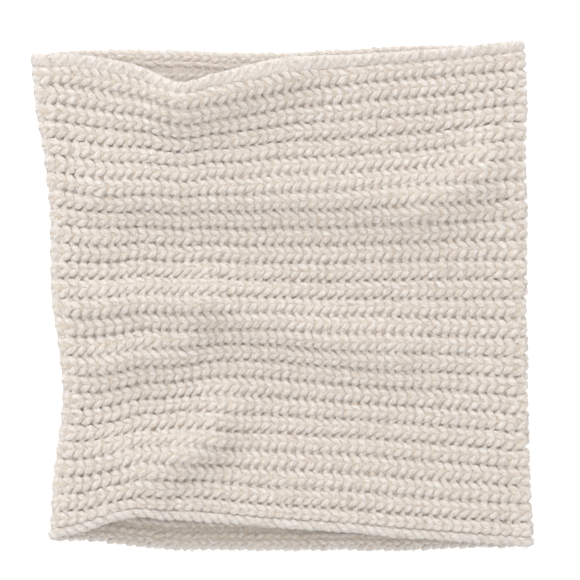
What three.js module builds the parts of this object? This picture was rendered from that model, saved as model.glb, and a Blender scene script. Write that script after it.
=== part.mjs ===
// A chunky knitted snood: a ribbed woollen tube, worn round the neck, lying flat on a table.
//
// The tube was knitted sideways, so its ribs run round it. It lies on its back wall, its axis
// along Y. Both ends are open mouths whose front edges are lifted a little into arches, and the
// two walls meet in a round fold at each side. An overcast seam runs up the left-hand fold.
//
// Millimetres, +Z up. The origin is on the table, under the middle of the tube.

import * as THREE from "three";

// Driving sizes of the knitted wall. An offset is measured from the middle of the wall.
const RIBS = 26;
const CREST = 3.4;
const GROOVE = 2.0;
const CREST_SHARE = 0.56;
const WALL_END = 2.5;

// Rough length of the tube, and the clear height that it keeps between its two walls.
const TUBE_LENGTH = 300;
const GAP = 6.2;
const BACK_Z = CREST;
const FRONT_Z = BACK_Z + 2 * CREST + GAP;
const FOLD_RADIUS = (FRONT_Z - BACK_Z) / 2;

// The selvedges are the rolled cords that finish the two mouths.
const SELVEDGE_RADIUS = 3.1;
const SELVEDGE_SIDES = 8;
const PIECE_GAP = 0.3;
const SELVEDGE_DEPTH = 2 * SELVEDGE_RADIUS + PIECE_GAP;

// The seam lies on the upper part of the left fold, between two angles of the fold.
const SEAM_ANGLES = [156, 135, 114];
const SEAM_SEAT = GROOVE + 0.35;
const SEAM_TOP = 3.7;
const SEAM_STEPS = 26;

// How far an arch's lift reaches into the tube from its mouth, and how high the front edge is
// lifted for each millimetre that it is drawn back.
const LIFT_REACH = 80;
const LIFT_PER_DRAW = 0.85;

// Distance from a side fold over which the front wall's relief fades in, the part of the rows
// by each mouth over which their bends fade out, and the small change of row that gives the way
// along the tube.
const FOLD_FADE = 32;
const BEND_FADE = 0.02;
const ROW_STEP = 0.01;

// Outer line of the two selvedges across the tube, for the front and the back wall.
const MOUTHS = [
  { x: -152, topFront: 150.0, topBack: 150.0, lowFront: -153.0, lowBack: -153.0 },
  { x: -125, topFront: 149.0, topBack: 152.0, lowFront: -147.5, lowBack: -152.0 },
  { x: -105, topFront: 146.0, topBack: 152.5, lowFront: -140.5, lowBack: -153.5 },
  { x: -88, topFront: 141.5, topBack: 152.5, lowFront: -137.0, lowBack: -155.5 },
  { x: -73, topFront: 135.0, topBack: 152.0, lowFront: -138.5, lowBack: -157.0 },
  { x: -60, topFront: 131.5, topBack: 152.0, lowFront: -139.0, lowBack: -157.5 },
  { x: -40, topFront: 137.0, topBack: 151.0, lowFront: -140.5, lowBack: -157.5 },
  { x: 0, topFront: 146.5, topBack: 150.5, lowFront: -144.0, lowBack: -158.0 },
  { x: 40, topFront: 149.0, topBack: 152.5, lowFront: -147.0, lowBack: -157.5 },
  { x: 80, topFront: 151.5, topBack: 155.0, lowFront: -150.5, lowBack: -158.0 },
  { x: 115, topFront: 154.5, topBack: 155.0, lowFront: -153.0, lowBack: -156.0 },
  { x: 152, topFront: 159.0, topBack: 158.0, lowFront: -156.0, lowBack: -156.0 },
];

// Outline of the two side folds, from the bottom up.
const SIDES = [
  { y: -156, left: -145.0, right: 156.5 },
  { y: -124, left: -143.5, right: 155.0 },
  { y: -96, left: -140.5, right: 153.5 },
  { y: -66, left: -137.0, right: 153.0 },
  { y: -32, left: -139.5, right: 152.5 },
  { y: 0, left: -144.0, right: 152.0 },
  { y: 50, left: -145.0, right: 152.5 },
  { y: 90, left: -148.5, right: 151.5 },
  { y: 120, left: -153.5, right: 152.5 },
  { y: 158, left: -157.0, right: 150.5 },
];

// Soft ridges of the front wall: each crest runs from one point to another.
const RIDGES = [
  { x1: -120, y1: 68, x2: 60, y2: 64, width: 19, height: 10.0 },
  { x1: 85, y1: 58, x2: 135, y2: 84, width: 17, height: 13.0 },
  { x1: -130, y1: -4, x2: -52, y2: -2, width: 16, height: 9.0 },
  { x1: -50, y1: -4, x2: 70, y2: -34, width: 17, height: 8.5 },
  { x1: -124, y1: -42, x2: -62, y2: -29, width: 13, height: 8.0 },
  { x1: -40, y1: -72, x2: -78, y2: -108, width: 15, height: 10.5 },
  { x1: -132, y1: -99, x2: -102, y2: -97, width: 11, height: 5.0 },
  { x1: -134, y1: 35, x2: -110, y2: 36, width: 11, height: 4.5 },
  { x1: -62, y1: 120, x2: 5, y2: 140, width: 13, height: 7.5 },
  { x1: -44, y1: -91, x2: -62, y2: -99, width: 10, height: 8.0 },
];

// How far the rows of the front wall have slid up or down on the table, where the soft cloth
// has bent: shares of the way up the ribs, and the shift in y of each of them across the tube.
const BEND_ROWS = [
  { share: 0.05, column: "at5" },
  { share: 0.2, column: "at20" },
  { share: 0.35, column: "at35" },
  { share: 0.5, column: "at50" },
  { share: 0.65, column: "at65" },
  { share: 0.8, column: "at80" },
  { share: 0.95, column: "at95" },
  { share: 0.985, column: "at98" },
];
const BENDS = [
  {
    x: -143,
    at5: -0.5, at20: -0.5, at35: -3.5, at50: 0.0,
    at65: 1.0, at80: -0.5, at95: -2.0, at98: -0.7,
  },
  {
    x: -105,
    at5: -4.0, at20: -6.5, at35: -8.0, at50: -3.5,
    at65: -3.0, at80: -5.0, at95: -4.5, at98: -1.6,
  },
  {
    x: -60,
    at5: -1.5, at20: 0.5, at35: 1.0, at50: 3.5,
    at65: 5.5, at80: 4.5, at95: 0.0, at98: 0.0,
  },
  {
    x: -20,
    at5: -3.0, at20: -1.0, at35: 2.0, at50: -1.0,
    at65: 0.0, at80: -0.5, at95: -3.0, at98: -3.0,
  },
  {
    x: 20,
    at5: -2.5, at20: -1.5, at35: -1.0, at50: -3.5,
    at65: -2.0, at80: -2.0, at95: -2.0, at98: -2.0,
  },
  {
    x: 60,
    at5: -2.5, at20: -1.5, at35: -2.5, at50: -2.5,
    at65: -0.5, at80: -0.5, at95: 0.0, at98: 0.0,
  },
  {
    x: 100,
    at5: -3.0, at20: -2.5, at35: -3.0, at50: -2.5,
    at65: 0.5, at80: 1.0, at95: 0.5, at98: 0.5,
  },
  {
    x: 143,
    at5: -3.0, at20: -4.5, at35: -5.5, at50: -3.0,
    at65: -0.5, at80: 3.0, at95: 0.0, at98: 0.0,
  },
];

// Stations round the tube: angles on the folds, shares of the width on the two walls.
const LEFT_UPPER_ANGLES = [180, 158, 135, 112];
const FRONT_SHARES = [
  0, 0.05, 0.1, 0.145, 0.185, 0.22, 0.25, 0.28, 0.31, 0.345, 0.39, 0.45, 0.53, 0.62, 0.71, 0.8, 0.89,
];
const RIGHT_ANGLES = [90, 60, 30, 0, -30, -60];
const BACK_SHARES = [1, 0.82, 0.64, 0.46, 0.28, 0.13];
const LEFT_LOWER_ANGLES = [-90, -120, -150];

const WOOL = { color: 0xe3d8cd, roughness: 0.95, metalness: 0 };
const SELVEDGE_WOOL = { color: 0xe6dcd2, roughness: 0.95, metalness: 0 };
const SEAM_WOOL = { color: 0xdfd4c9, roughness: 0.95, metalness: 0 };

function smoothStep(t) {
  const k = Math.min(1, Math.max(0, t));
  return k * k * (3 - 2 * k);
}

// Value of a table's column at a place, on a smooth curve through its rows.
function smoothColumn(table, key, column, at) {
  const last = table.length - 1;
  const place = Math.min(table[last][key], Math.max(table[0][key], at));
  let i = 0;
  while (i < last - 1 && place > table[i + 1][key]) i += 1;
  const slope = (k) => {
    const before = table[Math.max(0, k - 1)];
    const after = table[Math.min(last, k + 1)];
    return (after[column] - before[column]) / (after[key] - before[key]);
  };
  const span = table[i + 1][key] - table[i][key];
  const t = (place - table[i][key]) / span;
  const ease = t * t * (3 - 2 * t);
  return (
    table[i][column] * (1 - ease) +
    table[i + 1][column] * ease +
    span * slope(i) * t * (1 - t) * (1 - t) -
    span * slope(i + 1) * t * t * (1 - t)
  );
}

// Straight line from a column's first value to its last one.
function straightColumn(table, key, column, at) {
  const first = table[0];
  const end = table[table.length - 1];
  const share = (at - first[key]) / (end[key] - first[key]);
  return first[column] + (end[column] - first[column]) * share;
}

// Height of a soft ridge at a point: a bell across the crest, fading past its two ends.
function ridgeHeight(ridge, x, y) {
  const dx = ridge.x2 - ridge.x1;
  const dy = ridge.y2 - ridge.y1;
  const along = ((x - ridge.x1) * dx + (y - ridge.y1) * dy) / (dx * dx + dy * dy);
  const near = Math.min(1, Math.max(0, along));
  const away = Math.hypot(x - ridge.x1 - near * dx, y - ridge.y1 - near * dy);
  return ridge.height * Math.exp(-((away / ridge.width) ** 2));
}

// How far an arch draws the front edge back from a straight one, at the top or the bottom.
function draw(column, x) {
  return smoothColumn(MOUTHS, "x", column, x) - straightColumn(MOUTHS, "x", column, x);
}

// How far a row of the front wall has slid along the tube, nothing at the two mouths.
function bend(x, row) {
  const shifts = BEND_ROWS.map(({ share, column }) => ({
    share,
    shift: smoothColumn(BENDS, "x", column, x),
  }));
  const fade = smoothStep(row / BEND_FADE) * smoothStep((1 - row) / BEND_FADE);
  return smoothColumn(shifts, "share", "shift", row) * fade;
}

// Y of a row of the front wall. The row is 0 at the lower end of the ribs and 1 at the upper.
function frontY(x, row) {
  const low = smoothColumn(MOUTHS, "x", "lowFront", x) + SELVEDGE_DEPTH;
  const top = smoothColumn(MOUTHS, "x", "topFront", x) - SELVEDGE_DEPTH;
  return low + (top - low) * row + bend(x, row);
}

function backY(x, row) {
  const low = smoothColumn(MOUTHS, "x", "lowBack", x) + SELVEDGE_DEPTH;
  const top = smoothColumn(MOUTHS, "x", "topBack", x) - SELVEDGE_DEPTH;
  return low + (top - low) * row;
}

// How far the front wall stands above its resting height: ridges, and arches at the mouths.
function frontLift(x, y, row, left, right) {
  const fade = smoothStep((x - left) / FOLD_FADE) * smoothStep((right - x) / FOLD_FADE);
  const top = -draw("topFront", x) * (1 - smoothStep(((1 - row) * TUBE_LENGTH) / LIFT_REACH));
  const low = draw("lowFront", x) * (1 - smoothStep((row * TUBE_LENGTH) / LIFT_REACH));
  let lift = LIFT_PER_DRAW * Math.max(0, top + low);
  for (const ridge of RIDGES) lift += ridgeHeight(ridge, x, y);
  return lift * fade;
}

// Middle of the wall at a station and a row. A station is an angle on a fold, where 180 points
// left and 90 up, or a share of the width on the front or the back wall.
function wallMiddle(station, row) {
  const roughY = (row - 0.5) * TUBE_LENGTH;
  const left = smoothColumn(SIDES, "y", "left", roughY) + CREST;
  const right = smoothColumn(SIDES, "y", "right", roughY) - CREST;
  let x;
  let z = (FRONT_Z + BACK_Z) / 2;
  let front;
  if (station.angle === undefined) {
    x = left + FOLD_RADIUS + (right - left - 2 * FOLD_RADIUS) * station.share;
    front = station.front ? 1 : 0;
    z += station.front ? FOLD_RADIUS : -FOLD_RADIUS;
  } else {
    const turn = THREE.MathUtils.degToRad(station.angle);
    const centre = station.left ? left + FOLD_RADIUS : right - FOLD_RADIUS;
    x = centre + FOLD_RADIUS * Math.cos(turn);
    front = (1 + Math.sin(turn)) / 2;
    z += FOLD_RADIUS * Math.sin(turn);
  }
  const yFront = frontY(x, row);
  const y = backY(x, row) * (1 - front) + yFront * front;
  z += front * frontLift(x, yFront, row, left, right);
  return new THREE.Vector3(x, y, z);
}

// The stations, in order from the left-hand edge over the front and back along the table.
function stationRing() {
  const ring = [];
  for (const angle of LEFT_UPPER_ANGLES) ring.push({ angle, left: true });
  for (const share of FRONT_SHARES) ring.push({ share, front: true });
  for (const angle of RIGHT_ANGLES) ring.push({ angle, left: false });
  for (const share of BACK_SHARES) ring.push({ share, front: false });
  for (const angle of LEFT_LOWER_ANGLES) ring.push({ angle, left: true });
  return ring;
}

const STATIONS = stationRing();

// Frame on the wall's middle at a station: the point, the way along the tube and the way out.
function wallFrame(index, row) {
  const count = STATIONS.length;
  const point = wallMiddle(STATIONS[index], row);
  const before = wallMiddle(STATIONS[(index + count - 1) % count], row);
  const after = wallMiddle(STATIONS[(index + 1) % count], row);
  const back = point.clone().sub(before);
  const ahead = after.clone().sub(point);
  const around = back.normalize().add(ahead.normalize()).normalize();
  const along = wallMiddle(STATIONS[index], row + ROW_STEP)
    .sub(wallMiddle(STATIONS[index], row - ROW_STEP))
    .normalize();
  const out = new THREE.Vector3().crossVectors(around, along).normalize();
  return { point, along, out };
}

// The stations 158 to 112 are the seam's seat, a little wider than the seam.
function isUnderSeam(station) {
  return station.left === true && station.angle > 90 && station.angle < 180;
}

// Rows and offsets of the ribbed wall, up the outside and down the inside.
function wallProfile(flatOutside) {
  const crest = flatOutside ? GROOVE : CREST;
  const end = flatOutside ? GROOVE : WALL_END;
  const profile = [{ row: 0, offset: end }];
  for (let rib = 0; rib < RIBS; rib += 1) {
    const side = (1 - CREST_SHARE) / 2;
    profile.push({ row: (rib + side) / RIBS, offset: crest });
    profile.push({ row: (rib + 1 - side) / RIBS, offset: crest });
    if (rib < RIBS - 1) profile.push({ row: (rib + 1) / RIBS, offset: GROOVE });
  }
  profile.push({ row: 1, offset: end });
  profile.push({ row: 1, offset: -WALL_END });
  for (let rib = RIBS - 1; rib >= 0; rib -= 1) {
    profile.push({ row: (rib + 0.5) / RIBS, offset: -GROOVE });
    if (rib > 0) profile.push({ row: rib / RIBS, offset: -CREST });
  }
  profile.push({ row: 0, offset: -WALL_END });
  return profile;
}

// Closed solid through rings of points: the rings are joined in order, and the last one to the
// first one, or both are capped.
function solidThroughRings(rings, capped) {
  const size = rings[0].length;
  const positions = rings.flat().flatMap((p) => [p.x, p.y, p.z]);
  const index = [];
  const joins = capped ? rings.length - 1 : rings.length;
  for (let r = 0; r < joins; r += 1) {
    const here = r * size;
    const next = ((r + 1) % rings.length) * size;
    for (let k = 0; k < size; k += 1) {
      const other = (k + 1) % size;
      index.push(here + k, next + other, here + other);
      index.push(here + k, next + k, next + other);
    }
  }
  if (capped) {
    const end = (rings.length - 1) * size;
    for (let k = 1; k < size - 1; k += 1) {
      index.push(0, k, k + 1);
      index.push(end, end + k + 1, end + k);
    }
  }
  const geometry = new THREE.BufferGeometry();
  geometry.setAttribute("position", new THREE.Float32BufferAttribute(positions, 3));
  geometry.setIndex(index);
  geometry.computeVertexNormals();
  return geometry;
}

// The ribbed wall, a ring of profiles with ribs outside and inside.
function ribbedTube() {
  const rings = STATIONS.map((station, index) =>
    wallProfile(isUnderSeam(station)).map(({ row, offset }) => {
      const frame = wallFrame(index, row);
      return frame.point.addScaledVector(frame.out, offset);
    }),
  );
  return solidThroughRings(rings, false);
}

// A selvedge, the round cord just past one end of the wall. The side is 1 at the top.
function selvedge(side) {
  const row = side > 0 ? 1 : 0;
  const reach = SELVEDGE_RADIUS + PIECE_GAP;
  const rings = STATIONS.map((_, index) => {
    const frame = wallFrame(index, row);
    const centre = frame.point.addScaledVector(frame.along, side * reach);
    const ring = [];
    for (let k = 0; k < SELVEDGE_SIDES; k += 1) {
      const turn = ((k + 0.5) / SELVEDGE_SIDES) * 2 * Math.PI;
      const corner = SELVEDGE_RADIUS / Math.cos(Math.PI / SELVEDGE_SIDES);
      const across = centre.clone().addScaledVector(frame.along, corner * Math.cos(turn));
      ring.push(across.addScaledVector(frame.out, -corner * Math.sin(turn)));
    }
    return ring;
  });
  return solidThroughRings(rings, false);
}

// The seam, a strip of overcast stitches on its flat seat along the left fold.
function overcastSeam() {
  const rings = [];
  const middle = { angle: SEAM_ANGLES[1], left: true };
  const lean = Math.tan(THREE.MathUtils.degToRad(SEAM_ANGLES[0] - SEAM_ANGLES[1]));
  for (let step = 0; step <= SEAM_STEPS; step += 1) {
    const row = step / SEAM_STEPS;
    const points = SEAM_ANGLES.map((angle) => wallMiddle({ angle, left: true }, row));
    const upwards = wallMiddle(middle, row + ROW_STEP)
      .sub(wallMiddle(middle, row - ROW_STEP))
      .normalize();
    const around = points[2].clone().sub(points[0]).normalize();
    const out = new THREE.Vector3().crossVectors(around, upwards).normalize();
    const outs = [
      out.clone().addScaledVector(around, -lean).normalize(),
      out,
      out.clone().addScaledVector(around, lean).normalize(),
    ];
    const under = points.map((p, k) => p.clone().addScaledVector(outs[k], SEAM_SEAT));
    const over = points.map((p, k) => p.clone().addScaledVector(outs[k], SEAM_TOP));
    rings.push([...under, ...over.reverse()]);
  }
  return solidThroughRings(rings, true);
}

function named(name, geometry, finish) {
  const mesh = new THREE.Mesh(geometry, new THREE.MeshStandardMaterial(finish));
  mesh.name = name;
  return mesh;
}

const snood = new THREE.Group();
snood.add(named("ribbed_tube", ribbedTube(), WOOL));
snood.add(named("top_selvedge", selvedge(1), SELVEDGE_WOOL));
snood.add(named("bottom_selvedge", selvedge(-1), SELVEDGE_WOOL));
snood.add(named("side_seam", overcastSeam(), SEAM_WOOL));

export default snood;
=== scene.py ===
"""A chunky ribbed snood of cream wool, lying flat and seen from straight above.

Every stitch is a loop of plump yarn. The loops follow the same lying form as the solids: a tube
with ribs running round it, two arched mouths, rolled selvedges and a seam up the left fold.
"""

import logging
import math
from dataclasses import dataclass, field
from enum import Enum

import bpy
import numpy as np
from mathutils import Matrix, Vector


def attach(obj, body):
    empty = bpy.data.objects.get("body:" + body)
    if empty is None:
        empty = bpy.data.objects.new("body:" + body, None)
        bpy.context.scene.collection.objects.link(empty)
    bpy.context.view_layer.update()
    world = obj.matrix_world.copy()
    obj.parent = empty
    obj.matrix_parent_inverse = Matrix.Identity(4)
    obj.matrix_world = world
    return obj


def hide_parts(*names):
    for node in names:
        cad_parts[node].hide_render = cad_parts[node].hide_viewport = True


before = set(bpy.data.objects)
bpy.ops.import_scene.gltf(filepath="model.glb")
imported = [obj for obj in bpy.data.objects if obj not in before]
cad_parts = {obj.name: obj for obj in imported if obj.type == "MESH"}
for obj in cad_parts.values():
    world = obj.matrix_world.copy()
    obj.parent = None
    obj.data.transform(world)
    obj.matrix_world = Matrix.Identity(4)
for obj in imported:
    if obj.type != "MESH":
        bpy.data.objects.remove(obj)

Array = np.ndarray
MM = 0.001
PRESSED = 0.92
LOG = logging.getLogger("snood")


class Mouth(Enum):
    """The two open ends of the tube, by the row of the wall that they end at."""

    BOTTOM = 0
    TOP = 1

    @property
    def sign(self) -> float:
        """Return 1 or -1, for the way out of this mouth along y."""
        return 1.0 if self is Mouth.TOP else -1.0


class Rim(Enum):
    """The outer lines of the two selvedges, by their columns in the table of mouths."""

    TOP_FRONT = 1
    TOP_BACK = 2
    LOW_FRONT = 3
    LOW_BACK = 4


def smooth_step(t: Array) -> Array:
    """Ease from 0 to 1 while t does, and hold there."""
    k = np.clip(t, 0.0, 1.0)
    return k * k * (3.0 - 2.0 * k)


def smooth_column(keys: Array, values: Array, at: Array) -> Array:
    """Read a column of a table on a smooth curve through its rows.

    Args:
        keys: Where each row stands, rising.
        values: The column, one value a row, or one array a row of the shape of the places.
        at: Where to read it.

    Returns:
        The values of the curve.
    """
    if values.ndim == 1:
        values = values.reshape(-1, *[1] * at.ndim) + np.zeros(at.shape)
    place = np.clip(at, keys[0], keys[-1])
    i = np.searchsorted(keys[1:-1], place, side="left")
    last = len(keys) - 1
    steps = [np.maximum(i - 1, 0), i, i + 1, np.minimum(i + 2, last)]
    low, here, there, high = (np.take_along_axis(values, k[None], 0)[0] for k in steps)
    span = keys[i + 1] - keys[i]
    t = (place - keys[i]) / span
    ease = t * t * (3.0 - 2.0 * t)
    rise = (there - low) / (keys[i + 1] - keys[steps[0]])
    fall = (high - here) / (keys[steps[3]] - keys[i])
    curve = here * (1.0 - ease) + there * ease
    return curve + span * t * (1.0 - t) * (rise * (1.0 - t) - fall * t)


def slow_waves(waves: tuple, course: Array, wale: Array) -> Array:
    """Add up waves, each with its size and its turn for each course and for each wale."""
    return sum(size * np.sin(course * turn + wale * rise) for size, turn, rise in waves)


def keep_above_table(line: Array, radius: Array) -> None:
    """Raise the points of yarn that would sink into the table, which presses it a little."""
    line[:, :, 2] = np.maximum(line[:, :, 2], radius * PRESSED)


def add_object(name: str, data: bpy.types.ID) -> bpy.types.Object:
    """Put a mesh, a lamp or a camera in the scene, and return its new object."""
    added = bpy.data.objects.new(name, data)
    bpy.context.scene.collection.objects.link(added)
    return added


@dataclass
class TubeForm:
    """The lying form of the tube's wall, in millimetres.

    A place on the wall is a distance round the tube and a row. The distance starts at the
    left-hand edge and runs over the front to the right-hand one and back along the table. The
    row is 0 at the lower end of the ribs and 1 at the upper end. Courses of stitches run from
    one mouth to the other, and their wales, two for each rib, run round the tube.
    """

    ribs: int = 26
    courses: int = 103
    wales: int = 53
    crest: float = 3.4
    gap: float = 6.2
    selvedge_radius: float = 3.1
    piece_gap: float = 0.3
    tube_length: float = 300.0
    bend_fade: float = 0.02
    lift_reach: float = 80.0
    lift_per_draw: float = 0.85
    fold_fade: float = 32.0
    fold_steepness: float = 10.0
    flat_run: float = 281.0
    easing: float = 0.12
    round_step: float = 1.0
    row_step: float = 0.005
    mouths: tuple = (
        # x, and the y of each rim
        (-152, 150.0, 150.0, -153.0, -153.0),
        (-125, 149.0, 152.0, -147.5, -152.0),
        (-105, 146.0, 152.5, -140.5, -153.5),
        (-88, 141.5, 152.5, -137.0, -155.5),
        (-73, 135.0, 152.0, -138.5, -157.0),
        (-60, 131.5, 152.0, -139.0, -157.5),
        (-40, 137.0, 151.0, -140.5, -157.5),
        (0, 146.5, 150.5, -144.0, -158.0),
        (40, 149.0, 152.5, -147.0, -157.5),
        (80, 151.5, 155.0, -150.5, -158.0),
        (115, 154.5, 155.0, -153.0, -156.0),
        (152, 159.0, 158.0, -156.0, -156.0),
    )
    sides: tuple = (
        # y, left, right
        (-156, -145.0, 156.5),
        (-124, -143.5, 155.0),
        (-96, -140.5, 153.5),
        (-66, -137.0, 153.0),
        (-32, -139.5, 152.5),
        (0, -144.0, 152.0),
        (50, -145.0, 152.5),
        (90, -148.5, 151.5),
        (120, -153.5, 152.5),
        (158, -157.0, 150.5),
    )
    ridges: tuple = (
        # x1, y1, x2, y2, width, height
        (-120, 68, 60, 64, 19, 10.0),
        (85, 58, 135, 84, 17, 13.0),
        (-130, -4, -52, -2, 16, 9.0),
        (-50, -4, 70, -34, 17, 8.5),
        (-124, -42, -62, -29, 13, 8.0),
        (-40, -72, -78, -108, 15, 10.5),
        (-132, -99, -102, -97, 11, 5.0),
        (-134, 35, -110, 36, 11, 4.5),
        (-62, 120, 5, 140, 13, 7.5),
        (-44, -91, -62, -99, 10, 8.0),
    )
    bend_rows: tuple = (0.05, 0.2, 0.35, 0.5, 0.65, 0.8, 0.95, 0.985)
    bends: tuple = (
        # x, and the shift in y of each of those rows
        (-143, -0.5, -0.5, -3.5, 0.0, 1.0, -0.5, -2.0, -0.7),
        (-105, -4.0, -6.5, -8.0, -3.5, -3.0, -5.0, -4.5, -1.6),
        (-60, -1.5, 0.5, 1.0, 3.5, 5.5, 4.5, 0.0, 0.0),
        (-20, -3.0, -1.0, 2.0, -1.0, 0.0, -0.5, -3.0, -3.0),
        (20, -2.5, -1.5, -1.0, -3.5, -2.0, -2.0, -2.0, -2.0),
        (60, -2.5, -1.5, -2.5, -2.5, -0.5, -0.5, 0.0, 0.0),
        (100, -3.0, -2.5, -3.0, -2.5, 0.5, 1.0, 0.5, 0.5),
        (143, -3.0, -4.5, -5.5, -3.0, -0.5, 3.0, 0.0, 0.0),
    )
    back_z: float = field(init=False)
    front_z: float = field(init=False)
    fold_radius: float = field(init=False)
    quarter: float = field(init=False)
    girth: float = field(init=False)
    pitch: float = field(init=False)
    selvedge_reach: float = field(init=False)
    selvedge_depth: float = field(init=False)

    def __post_init__(self) -> None:
        """Work out the heights of the two walls and the way round the tube."""
        self.back_z = self.crest
        self.front_z = self.back_z + 2.0 * self.crest + self.gap
        self.fold_radius = (self.front_z - self.back_z) / 2.0
        self.quarter = math.pi / 2.0 * self.fold_radius
        self.girth = 2.0 * self.flat_run + 4.0 * self.quarter
        self.pitch = self.girth / self.courses
        self.selvedge_reach = self.selvedge_radius + self.piece_gap
        self.selvedge_depth = 2.0 * self.selvedge_radius + self.piece_gap

    def eased(self, round_at: Array) -> Array:
        """Space the courses a little wider by the two folds than between them.

        Args:
            round_at: Distance round the tube, if all courses were spaced evenly.

        Returns:
            The distance round the tube.
        """
        half = self.girth / 2.0
        wall = np.floor(round_at / half)
        v = 2.0 * (round_at / half - wall) - 1.0
        v = (v * (1.0 - self.easing) + self.easing / 5.0 * v**5) / (1.0 - 0.8 * self.easing)
        return (wall + (v + 1.0) / 2.0) * half

    def nearness(self, round_at: Array) -> Array:
        """Return 0 for places over most of each wall, rising to 1 at the two folds."""
        return (2.0 * np.mod(2.0 * round_at / self.girth, 1.0) - 1.0) ** 4

    def facing(self, round_at: Array) -> Array:
        """Return 1 on the front wall and -1 on the back one, changing over the folds."""
        turn = 2.0 * math.pi * round_at / self.girth
        return np.clip(1.0 + self.fold_steepness * np.sin(turn), -1.0, 1.0)

    def mouth_line(self, rim: Rim, x: Array) -> Array:
        """Return the y of one of the selvedges' outer lines."""
        table = np.array(self.mouths, dtype=float)
        return smooth_column(table[:, 0], table[:, rim.value], x)

    def drawn_in(self, rim: Rim, x: Array) -> Array:
        """Find how far an outer line is drawn off the straight line between its two ends.

        Args:
            rim: Which line.
            x: Across the tube.

        Returns:
            The distance, above 0 where it is drawn down.
        """
        first, last = self.mouths[0], self.mouths[-1]
        share = (x - first[0]) / (last[0] - first[0])
        start, end = first[rim.value], last[rim.value]
        return start + (end - start) * share - self.mouth_line(rim, x)

    def bend(self, x: Array, row: Array) -> Array:
        """Find how far a row of the front wall has slid along the tube.

        Args:
            x: Across the tube.
            row: The wall's row.

        Returns:
            The shift in y, nothing at the two mouths.
        """
        table = np.array(self.bends, dtype=float)
        shifts = [smooth_column(table[:, 0], table[:, k], x) for k in range(1, table.shape[1])]
        fade = smooth_step(row / self.bend_fade) * smooth_step((1.0 - row) / self.bend_fade)
        return smooth_column(np.array(self.bend_rows), np.stack(shifts), row) * fade

    def wall_y(self, x: Array, row: Array, low_rim: Rim, top_rim: Rim) -> Array:
        """Find the y of a row of a wall, spaced evenly from one selvedge to the other.

        Args:
            x: Across the tube.
            row: The wall's row.
            low_rim: The wall's outer line at the lower mouth.
            top_rim: Its outer line at the upper mouth.

        Returns:
            The y of the row there.
        """
        low = self.mouth_line(low_rim, x) + self.selvedge_depth
        top = self.mouth_line(top_rim, x) - self.selvedge_depth
        return low + (top - low) * row

    def front_lift(self, x: Array, y: Array, row: Array) -> Array:
        """Find how far the front wall stands above its resting height, away from the folds.

        Args:
            x: Across the tube.
            y: Along the tube.
            row: The wall's row.

        Returns:
            The height of the ridges and arches.
        """
        top = 1.0 - smooth_step((1.0 - row) * self.tube_length / self.lift_reach)
        low = 1.0 - smooth_step(row * self.tube_length / self.lift_reach)
        drawn = self.drawn_in(Rim.TOP_FRONT, x) * top - self.drawn_in(Rim.LOW_FRONT, x) * low
        lift = self.lift_per_draw * np.maximum(0.0, drawn)
        for x1, y1, x2, y2, width, height in self.ridges:
            dx, dy = x2 - x1, y2 - y1
            near = np.clip(((x - x1) * dx + (y - y1) * dy) / (dx * dx + dy * dy), 0.0, 1.0)
            away = np.hypot(x - x1 - near * dx, y - y1 - near * dy)
            lift = lift + height * np.exp(-((away / width) ** 2))
        return lift

    def middle(self, round_at: Array, row: Array) -> Array:
        """Find the middle of the wall.

        Args:
            round_at: Distance round the tube.
            row: The wall's row.

        Returns:
            The points, with a last axis of three.
        """
        at, row = np.broadcast_arrays(np.mod(round_at, self.girth), row)
        sides = np.array(self.sides, dtype=float)
        rough_y = (row - 0.5) * self.tube_length
        left = smooth_column(sides[:, 0], sides[:, 1], rough_y) + self.crest
        right = smooth_column(sides[:, 0], sides[:, 2], rough_y) - self.crest
        q, f = self.quarter, self.flat_run
        knots = np.array([0.0, q, q + f, 3.0 * q + f, 3.0 * q + 2.0 * f, self.girth])
        turn = np.radians(np.interp(at, knots, [180.0, 90.0, 90.0, -90.0, -90.0, -180.0]))
        share = np.interp(at, knots, [0.0, 0.0, 1.0, 1.0, 0.0, 0.0])
        width = right - left - 2.0 * self.fold_radius
        x = left + self.fold_radius + width * share + self.fold_radius * np.cos(turn)
        front = (1.0 + np.sin(turn)) / 2.0
        y_front = self.wall_y(x, row, Rim.LOW_FRONT, Rim.TOP_FRONT) + self.bend(x, row)
        y_back = self.wall_y(x, row, Rim.LOW_BACK, Rim.TOP_BACK)
        y = y_back * (1.0 - front) + y_front * front
        z = (self.front_z + self.back_z) / 2.0 + self.fold_radius * np.sin(turn)
        fade = smooth_step((x - left) / self.fold_fade)
        fade = fade * smooth_step((right - x) / self.fold_fade)
        z = z + front * (self.front_lift(x, y_front, row) * fade)
        return np.stack([x, y, z], axis=-1)

    def axes(self, round_at: Array, row: Array) -> tuple:
        """Find the wall's own directions.

        Args:
            round_at: Distance round the tube.
            row: The wall's row.

        Returns:
            The middle of the wall, the way along the tube and the way out of the wall.
        """
        point = self.middle(round_at, row)
        step = self.round_step
        around = self.middle(round_at + step, row) - self.middle(round_at - step, row)
        step = self.row_step
        along = self.middle(round_at, row + step) - self.middle(round_at, row - step)
        along /= np.linalg.norm(along, axis=-1, keepdims=True)
        out = np.cross(around, along)
        out /= np.linalg.norm(out, axis=-1, keepdims=True)
        return point, along, out

    def edge(self, mouth: Mouth, round_at: Array) -> tuple:
        """Find the middle of a mouth's selvedge.

        Args:
            mouth: The mouth.
            round_at: Distance round the tube.

        Returns:
            The middle of the selvedge, the way out of the mouth and the way out of the wall.
        """
        point, along, out = self.axes(round_at, np.full_like(round_at, float(mouth.value)))
        ahead = along * mouth.sign
        return point + ahead * self.selvedge_reach, ahead, out


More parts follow.
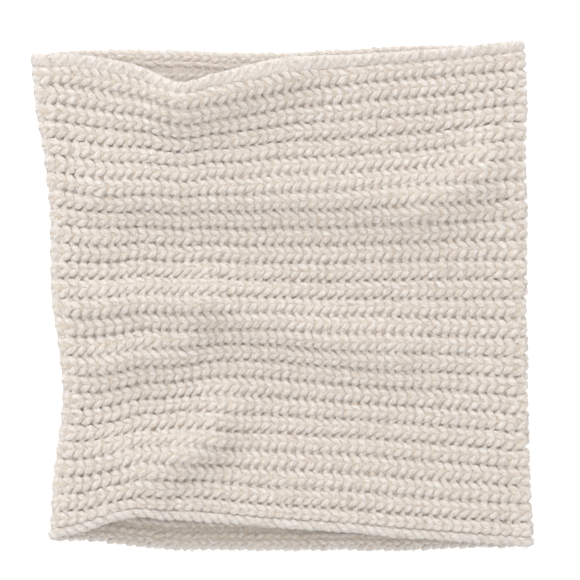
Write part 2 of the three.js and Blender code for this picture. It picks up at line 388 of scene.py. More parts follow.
@dataclass(frozen=True)
class Loop:
    """One stitch, as half of a loop of yarn that is mirrored for its other half.

    Each row of the path is a place across the wale in millimetres and along it in stitches,
    its height above the wall's middle and the yarn's radius.
    """

    path: tuple

    def whole(self) -> Array:
        """Mirror the half loop.

        Returns:
            Rows of across, along, height and radius, from one link to just before the next.
        """
        half = np.array(self.path)
        other = half[-2:0:-1] * np.array([-1.0, 1.0, 1.0, 1.0])
        return np.concatenate([half, other])


PLUMP_LOOP = Loop(
    path=(
        (-2.80, -0.06, 0.00, 1.50),
        (-0.95, -0.22, 1.05, 1.55),
        (-0.44, -0.05, 1.80, 1.75),
        (-1.40, 0.14, 2.30, 2.04),
        (-2.55, 0.38, 2.00, 2.04),
        (-2.95, 0.62, 0.80, 1.85),
        (-2.20, 0.98, -0.60, 1.70),
        (0.00, 1.40, -0.90, 1.90),
    )
)
BAR_LOOP = Loop(
    path=(
        (-2.80, -0.06, 0.00, 1.50),
        (-0.75, 0.00, 1.70, 1.80),
        (-2.05, 0.38, 1.85, 1.86),
        (-3.00, 0.68, 0.80, 1.80),
        (-2.20, 1.20, 0.10, 2.00),
        (0.00, 1.42, 0.20, 2.20),
    )
)
SOFT_LOOP = Loop(
    path=(
        (-2.80, -0.06, 0.00, 1.80),
        (-0.70, -0.12, 1.10, 1.90),
        (-1.60, 0.20, 1.60, 2.15),
        (-2.65, 0.52, 1.20, 2.15),
        (-2.00, 1.00, 0.10, 2.00),
        (0.00, 1.40, -0.20, 2.00),
    )
)


@dataclass
class Yarn:
    """Tubes of yarn swept along lines of points, joined in one mesh."""

    sides: int = 6
    streak_shift: float = 37.0
    points: list = field(default_factory=list)
    faces: list = field(default_factory=list)
    along: list = field(default_factory=list)
    around: list = field(default_factory=list)
    count: int = 0

    def sweep(self, line: Array, radius: Array, up: Array) -> None:
        """Add tubes of the same number of points, each closed at its two ends.

        Args:
            line: Centre lines in millimetres, shaped tubes by points by three.
            radius: The yarn's radius at each point.
            up: A direction across each line at its start.
        """
        tubes, rings, _ = line.shape
        ahead = np.gradient(line, axis=1)
        ahead /= np.linalg.norm(ahead, axis=2, keepdims=True)
        side = np.empty_like(line)
        held = up.astype(float)
        for i in range(rings):
            held = held - np.sum(held * ahead[:, i], axis=1, keepdims=True) * ahead[:, i]
            held = held / np.linalg.norm(held, axis=1, keepdims=True)
            side[:, i] = held
        other = np.cross(ahead, side)
        place = np.arange(self.sides) / self.sides
        turn = place * 2.0 * math.pi
        swing = side[:, :, None] * np.cos(turn)[:, None] + other[:, :, None] * np.sin(turn)[:, None]
        ring = line[:, :, None] + swing * radius[:, :, None, None]
        self.points.append(ring.reshape(-1, 3))
        grid = self.count + np.arange(tubes * rings * self.sides).reshape(tubes, rings, self.sides)
        near, far = grid[:, :-1], grid[:, 1:]
        quads = np.stack([near, np.roll(near, -1, 2), np.roll(far, -1, 2), far], axis=-1)
        self.faces.append(quads.reshape(-1, 4))
        step = np.linalg.norm(np.diff(line, axis=1), axis=2)
        run = np.concatenate([np.zeros((tubes, 1)), np.cumsum(step, axis=1)], axis=1)
        run += np.arange(tubes)[:, None] * self.streak_shift
        corner_run = np.stack([run[:, :-1], run[:, :-1], run[:, 1:], run[:, 1:]], axis=-1)
        shape = (tubes, rings - 1, self.sides, 4)
        self.along.append(np.broadcast_to(corner_run[:, :, None], shape).reshape(-1, 4))
        after = place + 1 / self.sides
        corner_place = np.stack([place, after, after, place], -1)
        self.around.append(np.broadcast_to(corner_place, shape).reshape(-1, 4))
        self.count += tubes * rings * self.sides
        self._close(grid[:, 0][:, ::-1], run[:, 0])
        self._close(grid[:, -1], run[:, -1])

    def _close(self, ends: Array, run: Array) -> None:
        """Close one end of each tube with quads across its ring.

        Args:
            ends: The points of each end ring, in order.
            run: How far along its yarn each end is.
        """
        for first in range(0, self.sides - 2, 2):
            self.faces.append(ends[:, [0, first + 1, first + 2, first + 3]])
            self.along.append(np.repeat(run[:, None], 4, axis=1))
            self.around.append(np.zeros((len(run), 4)))

    def build(self, name: str) -> bpy.types.Object:
        """Make the mesh, none of it under the top of the table.

        Args:
            name: The name of the piece.

        Returns:
            The new object.
        """
        points = np.concatenate(self.points)
        points[:, 2] = np.maximum(points[:, 2], 0.0)
        faces = np.concatenate(self.faces)
        mesh = bpy.data.meshes.new(name)
        mesh.vertices.add(len(points))
        mesh.vertices.foreach_set("co", (points * MM).astype(np.float32).ravel())
        mesh.loops.add(faces.size)
        mesh.loops.foreach_set("vertex_index", faces.astype(np.int32).ravel())
        mesh.polygons.add(len(faces))
        mesh.polygons.foreach_set("loop_start", np.arange(len(faces), dtype=np.int32) * 4)
        mesh.polygons.foreach_set("use_smooth", np.ones(len(faces), dtype=bool))
        layer = mesh.uv_layers.new(name="yarn")
        uv = np.stack([np.concatenate(self.along).ravel() * MM, np.concatenate(self.around).ravel()])
        layer.uv.foreach_set("vector", uv.T.astype(np.float32).ravel())
        mesh.update(calc_edges=True)
        return add_object(name, mesh)


@dataclass(frozen=True)
class Graph:
    """A tree of shader nodes to add to."""

    tree: bpy.types.NodeTree

    def add(self, kind: str, inputs: dict | None = None, **settings: object) -> bpy.types.Node:
        """Add a node.

        Args:
            kind: Its type.
            inputs: A value, or a socket to link, for each input, by its name or number.
            settings: Its own settings, made before its inputs are.

        Returns:
            The new node.
        """
        node = self.tree.nodes.new(kind)
        for name, value in settings.items():
            setattr(node, name, value)
        for key, value in (inputs or {}).items():
            if isinstance(value, bpy.types.NodeSocket):
                self.tree.links.new(value, node.inputs[key])
            else:
                node.inputs[key].default_value = value
        return node

    def math(self, operation: str, *values: object) -> bpy.types.NodeSocket:
        """Add a calculation on values or sockets, and return the socket of its result."""
        return self.add("ShaderNodeMath", dict(enumerate(values)), operation=operation).outputs[0]


@dataclass(frozen=True)
class FibreEffect:
    """The node group that draws wool's fibres: heather flecks, streaks along the yarn and fuzz.

    The streaks are noise on a narrow cylinder, twisted and drawn out along the yarn.
    """

    name: str = "wool fibres"
    streak_size: float = 1300.0
    fleck_size: float = 520.0
    twist: float = 420.0
    cylinder_radius: float = 0.0018
    cylinder_run: float = 0.22
    streak_detail: tuple = (3.0, 0.55)
    fleck_detail: tuple = (4.0, 0.6)

    def group(self) -> bpy.types.NodeTree:
        """Return the group, made on its first use."""
        return bpy.data.node_groups.get(self.name) or self._make()

    def _make(self) -> bpy.types.NodeTree:
        """Build the group.

        Returns:
            The group, with the sockets Streak Size, Fleck Size, Streak, Fleck and Height.
        """
        group = bpy.data.node_groups.new(self.name, "ShaderNodeTree")
        face = group.interface
        for label, value in (("Streak Size", self.streak_size), ("Fleck Size", self.fleck_size)):
            socket = face.new_socket(name=label, in_out="INPUT", socket_type="NodeSocketFloat")
            socket.default_value = value
        for label in ("Streak", "Fleck", "Height"):
            face.new_socket(name=label, in_out="OUTPUT", socket_type="NodeSocketFloat")
        graph = Graph(group)
        given = graph.add("NodeGroupInput").outputs
        uv = graph.add("ShaderNodeUVMap", uv_map="yarn")
        split = graph.add("ShaderNodeSeparateXYZ", {0: uv.outputs["UV"]}).outputs
        turn = graph.math("MULTIPLY", split["Y"], 2.0 * math.pi)
        twist = graph.math("MULTIPLY_ADD", split["X"], self.twist, turn)
        place = {"X": graph.math("MULTIPLY", split["X"], self.cylinder_run)}
        for axis, operation in (("Y", "COSINE"), ("Z", "SINE")):
            wave = graph.math(operation, twist)
            place[axis] = graph.math("MULTIPLY", wave, self.cylinder_radius)
        rolled = graph.add("ShaderNodeCombineXYZ", place)
        spot = graph.add("ShaderNodeTexCoord")
        noise = []
        for vector, label, (detail, roughness) in (
            (rolled.outputs[0], "Streak Size", self.streak_detail),
            (spot.outputs["Object"], "Fleck Size", self.fleck_detail),
        ):
            inputs = {"Detail": detail, "Roughness": roughness}
            inputs |= {"Vector": vector, "Scale": given[label]}
            noise.append(graph.add("ShaderNodeTexNoise", inputs).outputs["Fac"])
        streak, fleck = noise
        results = {"Streak": streak, "Fleck": fleck, "Height": graph.math("ADD", streak, fleck)}
        graph.add("NodeGroupOutput", results)
        return group


@dataclass(frozen=True)
class WoolFinish:
    """Heathered, fuzzy wool: two tones of yarn, streaks along it and a soft sheen."""

    name: str
    pale: tuple = (0.95, 0.912, 0.872)
    warm: tuple = (0.81, 0.686, 0.578)
    sheen: float = 0.7
    sheen_roughness: float = 0.5
    specular: float = 0.15
    diffuse_roughness: float = 1.0
    roughness: tuple = (0.85, 1.0)
    streak_range: tuple = (0.39, 0.60)
    fleck_range: tuple = (0.40, 0.60)
    streak_share: float = 0.7
    fleck_share: float = 0.3
    bump: float = 1.0
    bump_depth: float = 0.0009

    def material(self) -> bpy.types.Material:
        """Return the material, made on its first use."""
        return bpy.data.materials.get(self.name) or self._make()

    def _make(self) -> bpy.types.Material:
        """Build the material, its colour mixed from the two tones by streaks and flecks.

        Returns:
            The new material.
        """
        material = bpy.data.materials.new(self.name)
        material.use_nodes = True
        material.node_tree.nodes.clear()
        graph = Graph(material.node_tree)
        fibres = graph.add("ShaderNodeGroup", node_tree=FibreEffect().group()).outputs
        shares = []
        for label, (low, high) in (("Streak", self.streak_range), ("Fleck", self.fleck_range)):
            inputs = {"From Min": low, "From Max": high, "Value": fibres[label]}
            shares.append(graph.add("ShaderNodeMapRange", inputs).outputs[0])
        fleck = graph.math("MULTIPLY", shares[1], self.fleck_share)
        share = graph.math("MULTIPLY_ADD", shares[0], self.streak_share, fleck)
        inputs = {"A": (*self.warm, 1.0), "B": (*self.pale, 1.0), "Factor": share}
        mix = graph.add("ShaderNodeMix", inputs, data_type="RGBA")
        low, high = self.roughness
        inputs = {"To Min": low, "To Max": high, "Value": fibres["Fleck"]}
        rough = graph.add("ShaderNodeMapRange", inputs)
        inputs = {"Strength": self.bump, "Distance": self.bump_depth, "Height": fibres["Height"]}
        bump = graph.add("ShaderNodeBump", inputs)
        inputs = {
            "Base Color": mix.outputs["Result"],
            "Roughness": rough.outputs[0],
            "Normal": bump.outputs[0],
            "Sheen Weight": self.sheen,
            "Sheen Roughness": self.sheen_roughness,
            "Specular IOR Level": self.specular,
            "Diffuse Roughness": self.diffuse_roughness,
        }
        shader = graph.add("ShaderNodeBsdfPrincipled", inputs)
        graph.add("ShaderNodeOutputMaterial", {"Surface": shader.outputs[0]})
        return material


RIB_WOOL = WoolFinish("rib wool")
SELVEDGE_WOOL = WoolFinish("selvedge wool", pale=(0.94, 0.902, 0.862), warm=(0.81, 0.70, 0.61))
SEAM_WOOL = WoolFinish("seam wool", pale=(0.93, 0.892, 0.852), warm=(0.80, 0.69, 0.60))
# Painted shade: a darker, browner wool for the cloth that shows between the stitches and inside the
# mouths, standing in for the shade there.
PAINTED_SHADE_WOOL = WoolFinish("painted shade wool", pale=(0.90, 0.82, 0.735), warm=(0.80, 0.685, 0.57), sheen=0.0)


def dress(piece: bpy.types.Object, finish: WoolFinish) -> None:
    """Give a piece its finish and let it move with the whole object.

    Args:
        piece: The piece.
        finish: Its wool.
    """
    piece.data.materials.append(finish.material())
    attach(piece, "root")
    LOG.info("%s: %d faces", piece.name, len(piece.data.polygons))


@dataclass
class RibbedWall:
    """The ribbed wall of the tube: courses of loops that run from one selvedge to the other."""

    form: TubeForm
    half_rib: float = 5.6
    front_start: int = -2
    front_courses: int = 60
    front_panels: int = 4
    back_panels: int = 2
    seed: int = 11
    wander: float = 0.32
    height_wander: float = 0.5
    link_reach: float = 0.22
    stretch_spread: float = 0.04
    radius_spread: float = 0.035
    breathing: float = 0.04
    breath_waves: tuple = ((1.0, 0.31, 1.7), (1.0, 0.13, -0.9))
    sway_waves: tuple = ((0.2, 0.0, 2.4), (0.1, 0.2, 0.9))
    seam_reach: tuple = (-5.0, 8.0)
    seam_damping: float = 0.3
    fold_reach: float = 7.0
    fold_damping: float = 0.2
    fold_groove: float = 0.6
    fold_plumpness: float = 0.18

    def course_line(self, inner: Loop) -> tuple:
        """String the loops of one course together, knit and purl in turn.

        Args:
            inner: The loop of the wales whose legs face in.

        Returns:
            The number of each point's wale, and the rows of across, along, height and radius.
        """
        pair = (inner.whole() * np.array([1.0, 1.0, -1.0, 1.0]), PLUMP_LOOP.whole())
        loops = [pair[number % 2] for number in range(self.form.wales)]
        wale = np.repeat(np.arange(self.form.wales), [len(loop) for loop in loops])
        return wale, np.concatenate(loops)

    def lines(self, courses: Array, inner: Loop, rng: np.random.Generator) -> tuple:
        """Lay the yarn of some courses on the wall, pressed in at the seam and the right fold.

        Args:
            courses: The numbers of the courses.
            inner: The loop of the wales whose legs face in.
            rng: Where the small differences come from.

        Returns:
            The centre lines, the radii and the way out of the wall at each line's start.
        """
        wale, loop = self.course_line(inner)
        course = courses[:, None]
        pitch = self.form.pitch
        size = (len(courses), self.form.wales)
        hold = np.clip(np.abs(loop[:, 1]) / self.link_reach, 0.0, 1.0)
        drift = rng.normal(0.0, self.wander, (3, *size))[:, :, wale] * hold
        stretch = 1.0 + rng.normal(0.0, self.stretch_spread, size)[:, wale]
        stretch = stretch + self.breathing * slow_waves(self.breath_waves, course, wale)
        across = loop[:, 0] * np.where(hold > 0.0, stretch, 1.0) + drift[0]
        sway = slow_waves(self.sway_waves, course, wale)
        forward = (loop[:, 1] + sway) * pitch + drift[1]
        height = loop[:, 2] + self.height_wander * drift[2]
        radius = loop[:, 3] * (1.0 + rng.normal(0.0, self.radius_spread, size))[:, wale]
        round_at = self.form.eased(-(course * pitch + forward))
        plump = 1.0 + self.fold_plumpness * self.form.nearness(round_at)
        radius = radius * plump
        row = (wale + across * plump / self.half_rib) / (self.form.wales - 1)
        half = self.form.girth / 2.0
        seat = np.mod(round_at + half, self.form.girth) - half
        under_seam = (seat > self.seam_reach[0]) & (seat < self.seam_reach[1])
        height = height * np.where(under_seam, self.seam_damping, 1.0)
        near = np.exp(-(((np.abs(seat) - half) / self.fold_reach) ** 2))
        groove = self.fold_groove * near * (wale % 2 == 0)
        height = height * (1.0 - self.fold_damping * near) - groove
        point, _, out = self.form.axes(round_at, row)
        line = point + out * height[..., None]
        keep_above_table(line, radius)
        return line, radius, out[:, 0]

    def build(self) -> list:
        """Knit the wall in panels, the plump legs on its outside.

        Returns:
            The pieces.
        """
        rng = np.random.default_rng(self.seed)
        fold = -(2.0 * self.form.quarter + self.form.flat_run) / self.form.pitch
        first = round(fold) + self.front_start
        front = first + np.arange(self.front_courses)
        back = first + np.arange(self.front_courses, self.form.courses)
        pieces = []
        for side, courses, panels, inner in (
            ("front", front, self.front_panels, BAR_LOOP),
            ("back", back, self.back_panels, SOFT_LOOP),
        ):
            for number, some in enumerate(np.array_split(courses, panels), start=1):
                yarn = Yarn()
                yarn.sweep(*self.lines(some, inner, rng))
                piece = yarn.build(f"{side}_stitches_{number}")
                dress(piece, RIB_WOOL)
                pieces.append(piece)
        return pieces


@dataclass
class GroundCloth:
    """The middle layer of the wall, seen through holes between stitches and at the mouths, coloured
    with painted shade, and with painted light inside the top mouth.
    """

    form: TubeForm
    round_steps: int = 160
    rib_steps: int = 6
    relief: float = 1.9
    lift: float = 1.3
    back_relief: float = 0.3
    back_lift: float = 2.2
    mouth_lift: float = 0.2
    mouth_row: float = 0.86
    mouth_fade: float = 0.06
    # Painted light: back-wall cloth beyond this y is coloured paler.
    painted_light_y: float = 115.0
    rows: float = 1.024
    weld: float = 0.0001

    def build(self, stitches: list) -> bpy.types.Object:
        """Args:
            stitches: The pieces of yarn that go with it. Not used.

        Returns:
            The new piece.
        """
        bpy.ops.object.select_all(action="DESELECT")
        bpy.ops.mesh.primitive_grid_add(
            x_subdivisions=self.round_steps,
            y_subdivisions=self.form.ribs * self.rib_steps,
            size=1.0,
        )
        piece = bpy.context.object
        piece.name = "ground_cloth"
        mesh = piece.data
        flat = np.empty(len(mesh.vertices) * 3, dtype=np.float32)
        mesh.vertices.foreach_get("co", flat)
        flat = flat.reshape(-1, 3).astype(float) + 0.5
        round_at = flat[:, 0] * self.form.girth
        row = 0.5 + (flat[:, 1] - 0.5) * self.rows
        point, _, out = self.form.axes(round_at, row)
        front = (1.0 + self.form.facing(round_at)) / 2.0
        wave = np.cos(row * self.form.ribs * 2.0 * math.pi)
        raised = self.mouth_lift * smooth_step((row - self.mouth_row) / self.mouth_fade)
        raised = self.back_lift + raised + self.back_relief * wave
        swell = front * (self.lift - self.relief * wave) - (1.0 - front) * raised
        point = point + out * swell[:, None]
        mesh.vertices.foreach_set("co", (point * MM).astype(np.float32).ravel())
        bpy.ops.object.mode_set(mode="EDIT")
        bpy.ops.mesh.select_all(action="SELECT")
        bpy.ops.mesh.remove_doubles(threshold=self.weld)
        bpy.ops.object.mode_set(mode="OBJECT")
        mesh.shade_smooth()
        uv = mesh.uv_layers[0]
        uv.name = "yarn"
        spots = np.empty(len(mesh.loops) * 2, dtype=np.float32)
        uv.uv.foreach_get("vector", spots)
        spots = spots.reshape(-1, 2) * np.array([self.form.girth * MM, 2.0 * self.form.ribs])
        uv.uv.foreach_set("vector", spots.astype(np.float32).ravel())
        # Most of the cloth takes the darker wool as painted shade.
        dress(piece, PAINTED_SHADE_WOOL)
        # Painted light: faces of the back wall inside the top mouth, where light falls, take the
        # paler rib wool instead of the darker painted-shade wool.
        mesh.materials.append(RIB_WOOL.material())
        for face in mesh.polygons:
            lit = face.center.y > self.painted_light_y * MM and face.center.z < self.form.front_z * MM / 2.0
            face.material_index = int(lit)
        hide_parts("ribbed_tube")
        return piece


@dataclass
class Selvedge:
    """The rolled edge of one mouth: slanting loops of yarn wrapped over cords.

    Each row of the path is a place past the roll's middle in millimetres and along the edge
    in stitches, its height and the yarn's radius. The loop goes back under the cords.
    """

    form: TubeForm
    mouth: Mouth
    cord_radius: float
    plumpness: float = 1.11
    slant: float = 0.55
    cord_growth: float = 0.3
    cord_fall: float = 0.8
    cord_steps: int = 300
    back_growth: float = 1.0
    back_sink: float = 0.8
    back_thinning: float = 0.5
    least: float = 0.75
    most: float = 3.0
    fold_flatness: float = 0.1
    wale_reach: float = 6.9
    wander: float = 0.2
    height_wander: float = 0.4
    radius_spread: float = 0.03
    seed: int = 23
    path: tuple = (
        (-3.40, 0.00, 0.10, 1.30),
        (0.30, -0.10, 0.30, 1.40),
        (1.60, 0.04, 0.90, 1.55),
        (0.90, 0.26, 1.90, 1.90),
        (-0.50, 0.52, 2.10, 1.98),
        (-2.00, 0.74, 1.30, 1.75),
        (-2.60, 1.00, 0.10, 1.50),
    )
    cords: tuple = (
        # past the middle in widenings, share of the fall, share of the back's sinking
        (0.0, 0.0, 1.0),
        (-0.8, 0.0, 1.0),
        (-1.6, 1.0, 0.6),
    )

    def widening(self, round_at: Array) -> Array:
        """Find how much wider the roll is where the last row of stitches lies farther away.

        Args:
            round_at: Distance round the tube.

        Returns:
            The widening, 1 for a reach of two millimetres over the cord.
        """
        centre, _, _ = self.form.edge(self.mouth, round_at)
        row = self.mouth.value - self.mouth.sign / (self.form.wales - 1)
        last = self.form.middle(round_at, np.full_like(round_at, row))
        away = np.linalg.norm(centre - last, axis=-1)
        return np.clip(away - self.wale_reach, 2.0 * self.least, 2.0 * self.most) / 2.0

    def behind(self, round_at: Array) -> Array:
        """Return how much farther out the back wall's roll lies than the front one's."""
        return self.back_growth * (1.0 - self.form.facing(round_at)) / 2.0

    def loop_lines(self, rng: np.random.Generator) -> tuple:
        """Lay the loops over the edge.

        Args:
            rng: Where the small differences come from.

        Returns:
            The centre lines, the radii and the way out of the wall at each line's start.
        """
        half = np.array(self.path)
        loop = np.concatenate([half, half[::-1] * np.array([1.0, 1.0, -1.0, 1.0])])
        courses, pitch = self.form.courses, self.form.pitch
        drift = rng.normal(0.0, self.wander, (3, courses, 1))
        start = -np.arange(courses)[:, None] * pitch
        slant = loop[:, 1] * (self.slant + self.slant * self.widening(start))
        round_at = self.form.eased(start - slant * pitch - drift[1])
        centre, ahead, out = self.form.edge(self.mouth, round_at)
        behind = self.behind(round_at)
        widen = np.where(loop[:, 0] < 0.0, self.widening(round_at), 1.0)
        past = loop[:, 0] * widen + drift[0] + behind
        flat = 1.0 - self.fold_flatness * self.form.nearness(round_at) ** 2
        height = (loop[:, 2] + self.height_wander * drift[2]) * flat + self.back_sink * behind
        line = centre + ahead * past[..., None] + out * height[..., None]
        spread = 1.0 + rng.normal(0.0, self.radius_spread, (courses, 1))
        radius = loop[:, 3] * self.plumpness * spread
        keep_above_table(line, radius)
        return line, radius, out[:, 0]

    def build(self) -> bpy.types.Object:
        """Knit the edge, and lay the cords that fill its roll.

        Returns:
            The new piece.
        """
        rng = np.random.default_rng(self.seed + self.mouth.value)
        top = self.mouth is Mouth.TOP
        yarn = Yarn()
        yarn.sweep(*self.loop_lines(rng))
        steps = np.linspace(0.0, self.form.girth, self.cord_steps + 1)
        centre, ahead, out = self.form.edge(self.mouth, steps)
        widen = self.widening(steps)
        behind = self.behind(steps)
        place, fall, sink = np.array(self.cords).T[:, :, None]
        past = place * widen + behind
        height = -self.cord_fall * fall * np.minimum(widen, 1.0) + self.back_sink * sink * behind
        line = centre + ahead * past[..., None] + out * height[..., None]
        line[:, :, 2] = np.maximum(line[:, :, 2], self.cord_radius)
        radius = self.cord_radius + self.cord_growth * widen - self.back_thinning * behind
        radius = np.broadcast_to(radius, past.shape)
        yarn.sweep(line, radius, np.repeat(out[:1], len(self.cords), axis=0))
        piece = yarn.build("top_selvedge_stitches" if top else "bottom_selvedge_stitches")
        dress(piece, SELVEDGE_WOOL)
        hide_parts("top_selvedge" if top else "bottom_selvedge")
        return piece


@dataclass
class SideSeam:
    """Overcast stitches that close the tube, lying across the upper part of the left fold."""

    form: TubeForm
    start: float = -1.0
    end: float = 7.5
    spread: float = 1.9
    slant: float = 0.004
    lean: float = 0.3
    height: float = 0.9
    thin: float = 1.7
    swell: float = 0.7
    stitch_points: int = 9
    row_range: tuple = (0.002, 0.998)
    row_wander: float = 0.0012
    round_wander: float = 0.3
    radius_spread: float = 0.05
    sides: int = 8
    roll_at: float = 1.5
    roll_radius: float = 2.7
    roll_height: float = -0.4
    roll_range: tuple = (0.004, 0.996)
    roll_points: int = 160
    roll_spread: float = 0.03
    seed: int = 31

    def build(self) -> bpy.types.Object:
        """Sew two stitches over the fold at each rib, with a roll of yarn under them.

        Returns:
            The new piece.
        """
        rng = np.random.default_rng(self.seed)
        share = np.linspace(0.0, 1.0, self.stitch_points)
        count = np.arange(2 * self.form.ribs)[:, None]
        apart = (count % 2 - 0.5) * 2.0 * self.spread / self.form.tube_length
        row = (count // 2 + 0.5) / self.form.ribs + apart
        row = row + rng.normal(0.0, self.row_wander, count.shape)
        slant = self.slant + rng.normal(0.0, self.row_wander, count.shape)
        rows = np.clip(row + slant * (share - 0.5), *self.row_range)
        at = self.start + (self.end - self.start) * share
        at = at + rng.normal(0.0, self.round_wander, count.shape)
        point, _, out = self.form.axes(at, rows)
        bulge = np.sin(math.pi * share)
        line = point + out * (self.height * bulge**0.5)[:, None]
        spread = 1.0 + rng.normal(0.0, self.radius_spread, count.shape)
        radius = (self.thin + self.swell * bulge) * spread
        yarn = Yarn(self.sides)
        yarn.sweep(line, radius, out[:, 0] + np.array([0.0, self.lean, 0.0]))
        rows = np.linspace(*self.roll_range, self.roll_points)
        point, _, out = self.form.axes(np.full_like(rows, self.roll_at), rows)
        roll = point + out * self.roll_height
        radius = self.roll_radius * (1.0 + rng.normal(0.0, self.roll_spread, (1, len(rows))))
        yarn.sweep(roll[None], radius, out[:1])
        piece = yarn.build("seam_stitches")
        dress(piece, SEAM_WOOL)
        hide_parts("side_seam")
        return piece


@dataclass
class Fuzz:
    """Stray fibres that stand off the wool, each a short bent spindle, all in one piece."""

    form: TubeForm
    wall_fibres: int = 3900
    mouth_fibres: int = 1300
    fold_fibres: int = 450
    wall_height: float = 3.9
    wall_rise: tuple = (-0.05, 0.35)
    front_share: float = 0.8
    rib_reach: float = 0.45
    roll_radius: float = 3.7
    roll_swing: tuple = (-0.5, 2.0)
    roll_rise: tuple = (0.0, 0.7)
    fold_height: float = 0.6
    fold_reach: float = 4.0
    fold_rise: tuple = (0.0, 0.6)
    stray: float = 0.6
    length: tuple = (1.8, 4.8)
    bow: tuple = (0.1, 0.8)
    rings: tuple = (0.35, 0.7)
    radius: float = 0.085
    seed: int = 47

    def on_wall(self, rng: np.random.Generator) -> tuple:
        """Scatter fibres over the ribs, most of them on the front.

        Args:
            rng: Where the places come from.

        Returns:
            The roots of the fibres and their directions.
        """
        count = self.wall_fibres
        turn = rng.uniform(0.0, 0.5, count) + 0.5 * (rng.uniform(size=count) > self.front_share)
        rib = rng.integers(0, self.form.ribs, count)
        reach = rng.uniform(-self.rib_reach, self.rib_reach, count)
        row = (2 * rib + 1 + reach) / (2 * self.form.ribs)
        point, along, out = self.form.axes(turn * self.form.girth, row)
        lean = rng.uniform(0.0, 2.0 * math.pi, count)[:, None]
        rise = rng.uniform(*self.wall_rise, count)[:, None]
        way = np.cross(out, along) * np.cos(lean) + along * np.sin(lean) + out * rise
        return point + out * self.wall_height, way

    def on_mouth(self, mouth: Mouth, rng: np.random.Generator) -> tuple:
        """Scatter fibres over the roll of one mouth.

        Args:
            mouth: The mouth.
            rng: Where the places come from.

        Returns:
            The roots of the fibres and their directions.
        """
        count = self.mouth_fibres
        centre, ahead, out = self.form.edge(mouth, rng.uniform(0.0, self.form.girth, count))
        swing = rng.uniform(*self.roll_swing, count)[:, None]
        away = ahead * np.cos(swing) + out * np.sin(swing)
        rise = rng.uniform(*self.roll_rise, count)[:, None]
        way = away * rise + rng.normal(0.0, self.stray, (count, 3))
        return centre + away * self.roll_radius, way

    def on_fold(self, at: float, rng: np.random.Generator) -> tuple:
        """Scatter fibres along one of the two folds.

        Args:
            at: Distance of the fold round the tube.
            rng: Where the places come from.

        Returns:
            The roots of the fibres and their directions.
        """
        count = self.fold_fibres
        row = rng.uniform(0.0, 1.0, count)
        point, _, out = self.form.axes(at + rng.normal(0.0, self.fold_reach, count), row)
        rise = rng.uniform(*self.fold_rise, count)[:, None]
        way = out * rise + rng.normal(0.0, self.stray, (count, 3))
        return point + out * self.fold_height * self.wall_height, way

    def build(self) -> bpy.types.Object:
        """Make the fibres.

        Returns:
            The new piece.
        """
        rng = np.random.default_rng(self.seed)
        groups = [self.on_wall(rng)]
        groups += [self.on_mouth(mouth, rng) for mouth in Mouth]
        groups += [self.on_fold(at, rng) for at in (0.0, self.form.girth / 2.0)]
        root, way = (np.concatenate(parts) for parts in zip(*groups))
        count = len(root)
        way /= np.linalg.norm(way, axis=1, keepdims=True)
        side = np.cross(way, rng.normal(0.0, 1.0, (count, 3)))
        side /= np.linalg.norm(side, axis=1, keepdims=True)
        other = np.cross(way, side)
        span = way * rng.uniform(*self.length, count)[:, None]
        bow = side * rng.uniform(*self.bow, count)[:, None]
        turn = np.arange(3) / 3.0 * 2.0 * math.pi
        swing = side[:, None] * np.cos(turn)[:, None] + other[:, None] * np.sin(turn)[:, None]
        rings = [(root + span * share + bow)[:, None] + swing * self.radius for share in self.rings]
        points = np.concatenate([root[:, None], *rings, (root + span)[:, None]], axis=1)
        points[:, :, 2] = np.maximum(points[:, :, 2], 0.0)
        faces = []
        for k in range(3):
            after = (k + 1) % 3
            faces += [(0, 1 + after, 1 + k), (7, 4 + k, 4 + after)]
            faces += [(1 + k, 1 + after, 4 + after), (1 + k, 4 + after, 4 + k)]
        firsts = np.arange(count)[:, None, None] * points.shape[1]
        corners = (firsts + np.array(faces)).reshape(-1, 3)
        mesh = bpy.data.meshes.new("fuzz")
        mesh.from_pydata((points.reshape(-1, 3) * MM).tolist(), [], corners.tolist())
        mesh.uv_layers.new(name="yarn")
        mesh.shade_smooth()
        piece = add_object("fuzz", mesh)
        dress(piece, SELVEDGE_WOOL)
        return piece


@dataclass(frozen=True)
class Table:
    """The plain pale table that the snood lies on."""

    width: float = 6.0
    tone: tuple = (0.93, 0.93, 0.93)
    roughness: float = 0.9
    specular: float = 0.1
    glow: float = 0.40

    def build(self) -> None:
        """Add the table."""
        bpy.ops.object.select_all(action="DESELECT")
        bpy.ops.mesh.primitive_plane_add(size=self.width)
        top = bpy.context.object
        top.name = "table"
        material = bpy.data.materials.new("table top")
        material.use_nodes = True
        shader = material.node_tree.nodes["Principled BSDF"]
        shader.inputs["Base Color"].default_value = (*self.tone, 1.0)
        shader.inputs["Roughness"].default_value = self.roughness
        shader.inputs["Specular IOR Level"].default_value = self.specular
        shader.inputs["Emission Color"].default_value = (1.0, 1.0, 1.0, 1.0)
        shader.inputs["Emission Strength"].default_value = self.glow
        top.data.materials.append(material)


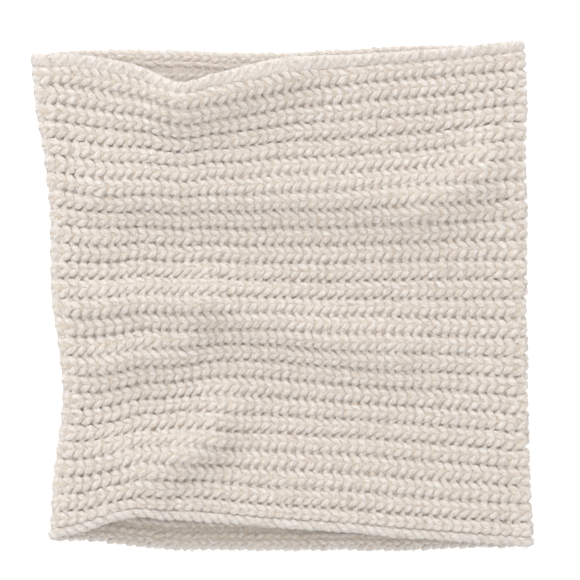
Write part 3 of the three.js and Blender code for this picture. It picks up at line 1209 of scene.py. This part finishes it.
@dataclass(frozen=True)
class Studio:
    """Soft light: a wide lamp from the upper left and an even glow all round."""

    key_power: float = 16.6
    key_size: float = 1.8
    key_place: tuple = (-0.45, 1.50, 1.12)
    key_tint: tuple = (0.955, 0.98, 1.0)
    glow: float = 0.923
    glow_tint: tuple = (0.963, 0.985, 1.0)

    def build(self) -> None:
        """Add the lamp, the glow and plain colours."""
        lamp = bpy.data.lights.new("key", "AREA")
        lamp.energy = self.key_power
        lamp.size = self.key_size
        lamp.color = self.key_tint
        holder = add_object("key", lamp)
        holder.location = self.key_place
        holder.rotation_euler = (-Vector(self.key_place)).to_track_quat("-Z", "Y").to_euler()
        world = bpy.data.worlds.new("studio")
        world.use_nodes = True
        back = world.node_tree.nodes["Background"]
        back.inputs["Color"].default_value = (*self.glow_tint, 1.0)
        back.inputs["Strength"].default_value = self.glow
        bpy.context.scene.world = world
        bpy.context.scene.view_settings.view_transform = "Standard"


@dataclass(frozen=True)
class PhotoCamera:
    """A long lens straight above the table."""

    frame_width: float = 0.36018
    centre: tuple = (0.00497, 0.00342, 0.010)
    lens: float = 300.0
    sensor: float = 36.0

    def build(self) -> None:
        """Add the camera and look through it."""
        data = bpy.data.cameras.new("camera")
        data.lens = self.lens
        data.sensor_width = self.sensor
        camera = add_object("camera", data)
        distance = self.frame_width * self.lens / self.sensor
        camera.location = Vector(self.centre) + Vector((0.0, 0.0, distance))
        bpy.context.scene.camera = camera


def main() -> None:
    """Build the snood and its studio, and note the size of the pieces."""
    logging.basicConfig(level=logging.INFO, format="%(message)s")
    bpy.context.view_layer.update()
    Table().build()
    form = TubeForm()
    stitches = RibbedWall(form).build()
    edges = [
        Selvedge(form, Mouth.BOTTOM, cord_radius=2.2, slant=0.8, cord_fall=-0.2).build(),
        Selvedge(form, Mouth.TOP, cord_radius=3.0, cord_fall=0.5, fold_flatness=0.3).build(),
    ]
    seam = SideSeam(form).build()
    fuzz = Fuzz(form).build()
    GroundCloth(form).build([*stitches, *edges, seam, fuzz])
    Studio().build()
    PhotoCamera().build()


if __name__ == "__main__":
    main()
